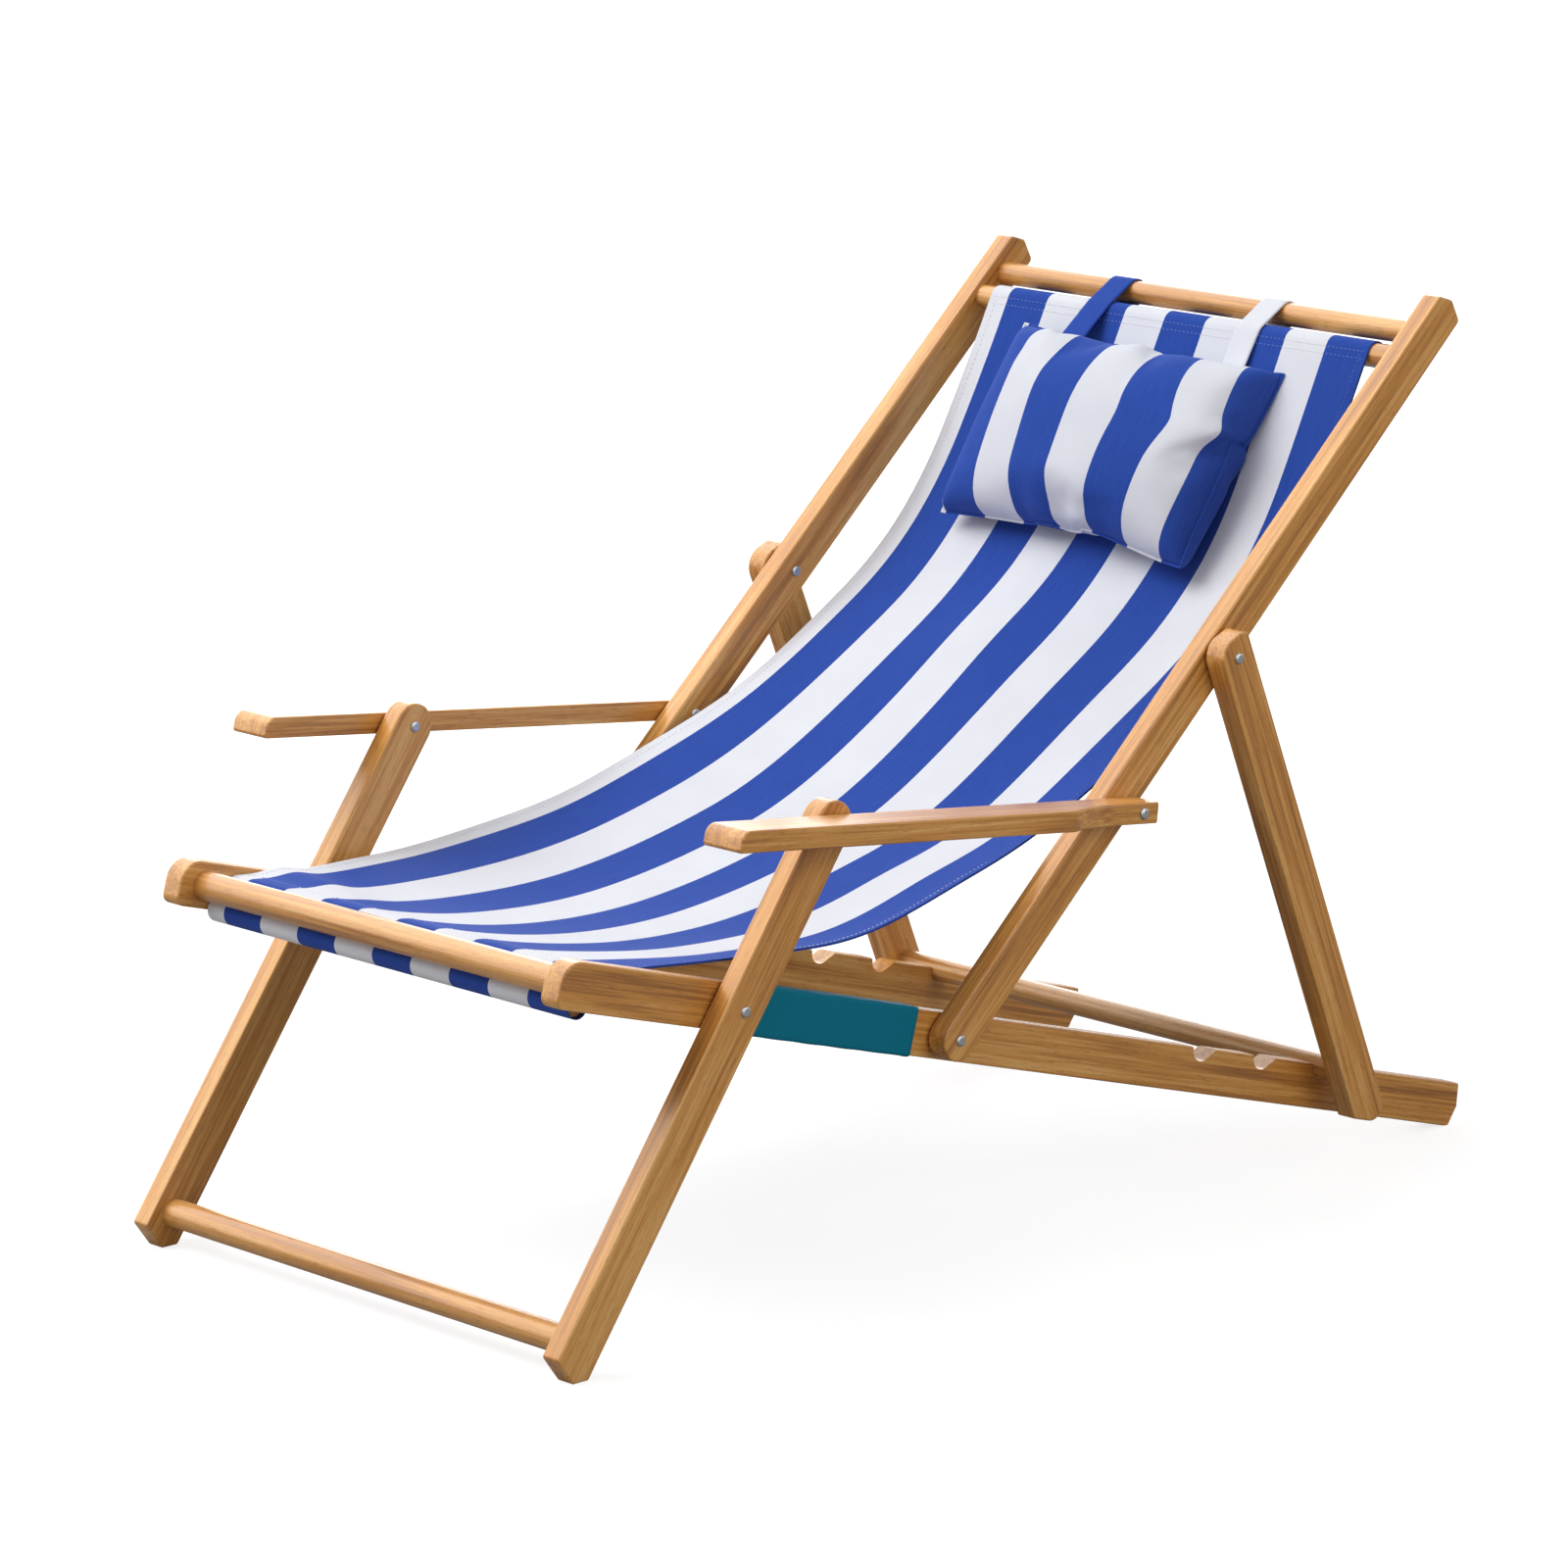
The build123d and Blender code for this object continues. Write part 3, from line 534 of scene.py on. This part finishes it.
# %% Hems
HEM, HEM_UNDER = 11 * MM, 1.15 * MM
edge_strip = 1 - HEM / SEAT_HALF
hem_across = np.stack([np.linspace(-1, -edge_strip, 7), np.linspace(edge_strip, 1, 7)])
hem_rows = seat_along[(seat_along > front_top - 30 * MM) & (seat_along < top_edge + 20 * MM)]
hem_grid = np.broadcast_arrays(hem_rows[None, :, None], hem_across[:, None, :])
hem_uv = np.stack([hem_grid[1] * SEAT_HALF, hem_grid[0]], -1)
hems = grid_object("seat_hems", seat_point(*hem_grid, rise=-HEM_UNDER), hem_uv, material=seat_canvas)
thicken(hems, 1.0 * MM)
print("hem cells:", len(hems.data.polygons))

# %% Stitches
STITCH_L, STITCH_W, STITCH_PITCH, STITCH_RISE = 3.4 * MM, 0.9 * MM, 5 * MM, 0.6 * MM
THREAD_BLUES = ("#5A74C4", "#8096DA")


def stitch_row(low, high):
    """Stitches every 5 mm on the line between two places (along, across) of the seat: centre and two
    directions, along the row and up from the cloth."""
    ends = seat_point(*np.array([low, high]).T)
    spans = np.abs(high[0] - low[0]), abs(ends[1, 0] - ends[0, 0])
    count = max(int(span / STITCH_PITCH) for span in spans)
    t = (np.arange(count) + 0.5) / count
    places = np.outer(1 - t, low) + np.outer(t, high)
    step = (np.array(high) - low) * 0.2 / count
    before, centre, after = [seat_point(*(places + s * step).T, rise=STITCH_RISE) for s in (-1, 0, 1)]
    up = seat_point(*places.T, rise=STITCH_RISE + 1 * MM) - centre
    return np.stack([centre, unit(after - before), unit(up)], 1)


edge_in = 1 - 8.5 * MM / SEAT_HALF
sewn_at = (front_top + 12 * MM, top_edge - 2 * MM, top_edge - 9 * MM)
rows = [stitch_row((front_top + 4 * MM, s * edge_in), (top_edge - 4 * MM, s * edge_in)) for s in (-1, 1)]
rows += [stitch_row((at, -0.985), (at, 0.985)) for at in sewn_at]
centre, lie, up = np.moveaxis(np.concatenate(rows), 1, 0)
waist = [[end, c, u] for end in (-0.5, 0.5) for c, u in ((1, 0), (0, 1), (-1, 0), (0, -1))]
spindle = np.array([[-1, 0, 0], *waist, [1, 0, 0]]) / 2
corners = centre[:, None] + STITCH_L * spindle[:, :1] * lie[:, None]
corners = corners + STITCH_W * spindle[:, 1:2] * np.cross(up, lie)[:, None]
corners = corners + STITCH_W * spindle[:, 2:] * up[:, None]
ring = np.array([[1 + i, 1 + (i + 1) % 4] for i in range(4)])
walls = np.column_stack([ring, ring[:, ::-1] + 4])
first_tips = np.column_stack([ring[:, ::-1], np.zeros(4, int)])
tips = np.concatenate([first_tips, np.column_stack([ring + 4, np.full(4, 9)])])
starts = 10 * np.arange(len(centre))[:, None, None]
faces = [*(starts + walls).reshape(-1, 4), *(starts + tips).reshape(-1, 3)]
stitch_mesh = bpy.data.meshes.new("seat_stitches")
stitch_mesh.from_pydata(corners.reshape(-1, 3), [], faces)
set_uv(stitch_mesh, corners[..., :2])
stitches = add_object("seat_stitches", stitch_mesh)
# Sewn thread catches more light than the cloth: it reads as paler dashes on the blue and is lost on the
# white.
thread = canvas("cotton thread, sewn through the stripes", SEAT_BLUE_FROM, blues=THREAD_BLUES)
stitch_mesh.materials.append(thread)
print("stitches:", len(centre))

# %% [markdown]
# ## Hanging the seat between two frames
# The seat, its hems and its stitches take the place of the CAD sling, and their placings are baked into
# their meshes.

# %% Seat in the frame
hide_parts("sling")
for piece in (seat, hems, stitches):
    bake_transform(piece)

# %% [markdown]
# ## The head pillow
# The pillow is two rectangles of canvas sewn round the edge and stuffed. A flat cover is built as two
# layers that share their rim, and Blender's cloth solver blows it up with air pressure, which pulls the
# sides in between the corners and puckers the seam as stuffing does. The cut bulges a little along each
# side, as a maker would cut it, so that the stuffed pillow doesn't look starved.

# %% Pillow cover, flat
PILLOW_L, PILLOW_H = 334 * MM, 222 * MM
END_BULGE, SIDE_BULGE = 0.05, 0.12
nu, nv = 105, 69
u, v = np.meshgrid(np.linspace(-1, 1, nu), np.linspace(-1, 1, nv), indexing="ij")
flat = np.stack([u * PILLOW_L / 2, v * PILLOW_H / 2], -1)
cut = flat * np.stack([1 + END_BULGE * (1 - v**2), 1 + SIDE_BULGE * (1 - u**2)], -1)
plump = 10 * MM * (1 - u**2) * (1 - v**2)
cover_points = np.concatenate([np.dstack([cut, sign * plump]).reshape(-1, 3) for sign in (1, -1)])
front_index = np.arange(nu * nv).reshape(nu, nv)
rim = (np.abs(u) == 1) | (np.abs(v) == 1)
back_index = np.where(rim, front_index, front_index + nu * nv)


def quads_of(grid):
    """The four corners of each cell of an index grid."""
    return np.stack([grid[:-1, :-1], grid[1:, :-1], grid[1:, 1:], grid[:-1, 1:]], -1).reshape(-1, 4)


# The back layer's own rim points are never used, so the points that are used get new numbers.
used = np.unique(np.concatenate([front_index.ravel(), back_index.ravel()]))
renumber = np.zeros(2 * nu * nv, dtype=int)
renumber[used] = np.arange(len(used))
front_grid, back_grid = renumber[front_index], renumber[back_index]
cover_quads = np.concatenate([quads_of(front_grid), quads_of(back_grid)[:, ::-1]])
cover_mesh = bpy.data.meshes.new("head_pillow")
cover_mesh.from_pydata(cover_points[used], [], cover_quads)
cover_uv = np.concatenate([flat.reshape(-1, 2)] * 2)[used]
set_uv(cover_mesh, cover_uv)
pillow = add_object("head_pillow", cover_mesh)
print("cover cells:", len(cover_mesh.polygons))

# %% Pillow, stuffed
SIM_FRAMES = 35
CLOTH = dict(quality=6, mass=0.25, tension_stiffness=30, compression_stiffness=30, shear_stiffness=8,
             bending_stiffness=0.15, use_pressure=True, uniform_pressure_force=5.0)
cloth = pillow.modifiers.new("stuffing", "CLOTH")
for key, value in CLOTH.items():
    setattr(cloth.settings, key, value)
cloth.settings.effector_weights.gravity = 0.0
cloth.collision_settings.use_collision = False
for step in range(1, SIM_FRAMES + 1):
    scene.frame_set(step)
stuffed = bpy.data.meshes.new_from_object(pillow.evaluated_get(bpy.context.evaluated_depsgraph_get()))
pillow.modifiers.clear()
pillow.data = stuffed
scene.frame_set(1)
co = np.empty(len(stuffed.vertices) * 3)
stuffed.vertices.foreach_get("co", co)
co = co.reshape(-1, 3)
print("stuffed size (mm):", np.round(np.ptp(co, axis=0) * 1000))

# %% Pillow, filled out
PILLOW_SIZE, PILLOW_FRONT, PILLOW_BACK = np.array([326, 198]) * MM, 54 * MM, 34 * MM
RIM_HOLLOW, STRAIGHTEN, SMOOTHINGS, SAG = 5 * MM, 0.8, 7, 10 * MM
co[:, :2] *= PILLOW_SIZE / np.ptp(co[:, :2], axis=0)

# Wadding fills the sides out: each row and column of the cover is stretched most of the way to a nearly
# straight rim.
column, row = np.unravel_index(used % (nu * nv), (nu, nv))
rim_place = co[front_grid]
sides = ((0, rim_place[0, :, 0], rim_place[-1, :, 0], v[0], row),
         (1, rim_place[:, 0, 1], rim_place[:, -1, 1], u[:, 0], column))
for axis, low, high, line, place in sides:
    straight = PILLOW_SIZE[axis] / 2 - RIM_HOLLOW * (1 - line**4)
    grow = np.where(co[:, axis] > 0, (straight / high)[place], (-straight / low)[place])
    co[:, axis] *= 1 + STRAIGHTEN * (grow - 1)

# It also rounds off sharp creases: points of the rim, then of each face, move to the mean of their
# neighbours.
for _ in range(SMOOTHINGS):
    for line in (front_grid[0], front_grid[-1], front_grid[:, 0], front_grid[:, -1]):
        co[line[1:-1]] = (co[line[:-2]] + co[line[2:]]) / 2
    for face in (front_grid, back_grid):
        beside = co[face[2:, 1:-1]] + co[face[:-2, 1:-1]]
        co[face[1:-1, 1:-1]] = (beside + co[face[1:-1, 2:]] + co[face[1:-1, :-2]]) / 4

# The front is fuller than the back, and its wadding has sunk a little.
in_front = co[:, 2] > 0
full = np.where(in_front, co[:, 2] / co[:, 2].max(), co[:, 2] / co[:, 2].min())
co[:, 1] -= np.where(in_front, SAG * full**2, 0)
co[:, 2] = np.where(in_front, PILLOW_FRONT * full**0.62, -PILLOW_BACK * full**0.34)

# %% Pillow, in its place
# The left end is drawn in at its lower corner and lies closer to the seat.
PILLOW_TILT, PILLOW_BLUE_FROM, CLEAR = 55.0, -161 * MM, 2 * MM
CORNER_PULL, END_PULL = np.array([9, 13]) * MM, np.array([5, 0, 9]) * MM
END_START, END_STOP = 0.02, 0.163
pull = ease(co[:, 0], END_START, END_STOP) * ease(-co[:, 1], 0.0, 0.1)
co[:, :2] -= pull[:, None] * CORNER_PULL
near_end = ease(co[:, 0], END_START, END_STOP)
co -= near_end[:, None] * END_PULL
pillow_up = np.append(0.0, heading_vector(PILLOW_TILT))
pillow_out = np.append(0.0, heading_vector(90 + PILLOW_TILT))
seam_centre = np.array([-5, 366, 648]) * MM - pillow_up * 6 * MM

# The pillow is flat where it rests: no point goes nearer to the seat's cloth than 2 mm.
under = (seat_along > front_top) & (seat_along < top_edge)
height_along = (seat_path[under] - seam_centre[1:]) @ pillow_up[1:]
rest_along = np.interp(co[:, 1], height_along, seat_along[under])
rest_across = (seam_centre[0] + co[:, 0]) / SEAT_HALF
rest = (seat_point(rest_along, rest_across) - seam_centre) @ pillow_out
co[:, 2] = np.maximum(co[:, 2], rest + CLEAR)
placed = seam_centre + co[:, :1] * np.array([1.0, 0, 0]) + co[:, 1:2] * pillow_up + co[:, 2:] * pillow_out
stuffed.vertices.foreach_set("co", placed.ravel())
stuffed.polygons.foreach_set("use_smooth", np.ones(len(stuffed.polygons), dtype=bool))
# The pillow's whites are a little darker than the seat's: this is painted shade on the same canvas.
PILLOW_SHADED_WHITES = ("#D3D5DF", "#E1E3EA")
pillow_canvas = canvas("cotton canvas, pillow stripes", blue_from=PILLOW_BLUE_FROM, whites=PILLOW_SHADED_WHITES)
stuffed.materials.append(pillow_canvas)
smooth = pillow.modifiers.new("smooth", "SUBSURF")
smooth.levels = smooth.render_levels = 1
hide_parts("pillow")
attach(pillow, "back_frame")

# %% Pillow seam
# The seam is a narrow ridge: a small circle carried round the rim, with the rim's own stripe colours.
SEAM_R, SEAM_SIDES = 1.5 * MM, 8
rim_runs = [front_grid[:-1, 0], front_grid[-1, :-1], front_grid[:0:-1, -1], front_grid[0, :0:-1]]
loop = np.concatenate(rim_runs)
ridge = placed[loop]
outward = unit(np.cross(np.roll(ridge, -1, 0) - np.roll(ridge, 1, 0), pillow_out))
turn = np.linspace(0, 2 * math.pi, SEAM_SIDES, endpoint=False)[None, :, None]
tube = ridge[:, None] + SEAM_R * (np.cos(turn) * outward[:, None] + np.sin(turn) * pillow_out)
tube_uv = np.ascontiguousarray(np.broadcast_to(cover_uv[loop][:, None], (len(loop), SEAM_SIDES, 2)))
seam = grid_object("pillow_seam", tube, tube_uv, closed_u=True, closed_v=True, material=pillow_canvas)
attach(seam, "back_frame")
print("seam points:", len(loop))

# %% [markdown]
# ## Pillow straps
# Each strap is a flat band of the same canvas, sewn into the pillow's top seam. It rises straight to the
# front of the top sleeve, lies over both top bars and is sewn to itself behind them. A straight run from a
# point to a circle leaves the line to the circle's centre by the angle whose sine is the radius over the
# distance.

# %% Straps
STRAP_W, STRAP_T, STRAP_IN_SEAM = 28 * MM, 1.4 * MM, 4 * MM
STRAP_OFF_BAR, STRAP_OFF_SLEEVE = 1.3 * MM, 2.1 * MM
STRAPS = (("strap_blue", "pillow_strap_right", -0.100, "blue"),
          ("strap_white", "pillow_strap_left", 0.092, "white"))
top_crossbar, crossbar_r = middle("top_crossbar")
strap_r, lap_r = crossbar_r + STRAP_OFF_BAR, wrap_r + STRAP_OFF_SLEEVE
between = top_crossbar - top_bar
strap_heading = bearing(between) + math.degrees(math.asin((strap_r - lap_r) / np.hypot(*between)))
strap_out = heading_vector(strap_heading + 90)
reach = float(np.hypot(*(top_crossbar + strap_out * strap_r - (top_bar + strap_out * lap_r))))
top_rim = ridge[cover_uv[loop][:, 1] == PILLOW_H / 2]
for name, node, x, colour in STRAPS:
    seam_point = top_rim[np.argmin(np.abs(top_rim[:, 0] - x))][1:]
    foot = seam_point - STRAP_IN_SEAM * heading_vector(PILLOW_TILT)
    rise = top_bar - foot
    lean = math.degrees(math.atan2(rise[1], rise[0]) + math.asin(lap_r / np.hypot(*rise)))
    climb = math.sqrt(rise @ rise - lap_r**2)
    over_bars = [arc(lap_r, strap_heading - lean), (reach, 0), arc(strap_r, -130), arc(strap_r, -110)]
    strap_path, _ = bent_line(foot, lean, [(climb, 0), *over_bars], step=2 * MM)
    strap_along = lengths_along(strap_path)
    span = np.linspace(-STRAP_W / 2, STRAP_W / 2, 11)
    band = np.empty((len(strap_path), len(span), 3))
    band[..., 0] = x + span[None, :]
    band[..., 1:] = strap_path[:, None, :]
    band_uv = np.stack(np.broadcast_arrays(span[None, :], strap_along[:, None]), -1)
    webbing = canvas(f"cotton canvas strap, {colour}", plain=colour)
    strap = grid_object(name, band, band_uv, material=webbing)
    thicken(strap, STRAP_T)
    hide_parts(node)
    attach(strap, "back_frame")

# %% [markdown]
# ## Teal wrap
# A band of teal cloth is closed round the left seat rail, between the leg and the back. It is a rounded
# rectangle carried along the rail: each side of the rectangle is a straight run and each corner a quarter
# circle, so one closed profile is found with the same bent line as the seat. The cloth pulls tight at its
# two hems and stands off by a few tenths of a millimetre between them.

# %% Wrap
WRAP_W, WRAP_H, WRAP_ROUND, WRAP_L = 23.4 * MM, 42.9 * MM, 2.7 * MM, 216 * MM
STAND_OFF, HEM_STEP = 0.35 * MM, 0.35 * MM
wrap_low, wrap_high = np.array(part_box("rail_wrap"))
rail_along, rail_up = heading_vector(RAIL_ANGLE), heading_vector(90 + RAIL_ANGLE)
runs = []
for length in (WRAP_W, WRAP_H, WRAP_W, WRAP_H):
    runs += [(length - 2 * WRAP_ROUND, 0), arc(WRAP_ROUND, 90)]
profile_start = np.array([-WRAP_W / 2 + WRAP_ROUND, -WRAP_H / 2])
profile, profile_heading = [values[:-1] for values in bent_line(profile_start, 0, runs, step=3 * MM)]
profile_out = heading_vector(profile_heading - 90)
t = np.linspace(0, 1, 73)[:, None]
girth = np.linspace(0, 2 * math.pi, len(profile), endpoint=False)[None, :]
slack = (1 + np.sin(3 * girth + 17 * t) * np.sin(5 * math.pi * t)) * np.sin(math.pi * t)
stand = STAND_OFF * slack + HEM_STEP * (swell(t, 0.02, 0.015) + swell(t, 0.98, 0.015))
flat_points = profile[None] + profile_out[None] * stand[..., None]
wrap_centre = (wrap_low + wrap_high) / 2
carried = rail_along * (t[..., None] - 0.5) * WRAP_L
rail_place = wrap_centre[1:] + carried + rail_up * flat_points[..., 1:]
wrap_points = np.concatenate([wrap_centre[0] + flat_points[..., :1], rail_place], -1)
wrap_uv = np.stack(np.broadcast_arrays(girth * 21 * MM, t * WRAP_L), -1)

# Polyester ripstop has a dull sheen and a fine grain, drawn at 1.5 mm so that it shows.
wrap_material, tree, output = new_material("polyester wrap, woven matt teal")
place = add_node(tree, "ShaderNodeTexCoord").outputs["Object"]
grain = noise(tree, place, 1.5 * MM, 3.0)
bump = add_node(tree, "ShaderNodeBump", {"Strength": 0.25, "Distance": 0.3 * MM, "Height": grain})
surface = add_node(tree, "ShaderNodeBsdfPrincipled", {
    "Base Color": two_tone(tree, grain, linear("#02667E"), linear("#047E99")), "Roughness": 0.62,
    "Normal": bump.outputs[0], "IOR": 1.5, "Specular IOR Level": 0.12})
tree.links.new(surface.outputs[0], output.inputs["Surface"])
wrap = grid_object("teal_wrap", wrap_points, wrap_uv, closed_v=True, material=wrap_material)
thicken(wrap, 0.8 * MM)
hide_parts("rail_wrap")
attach(wrap, "seat_frame")
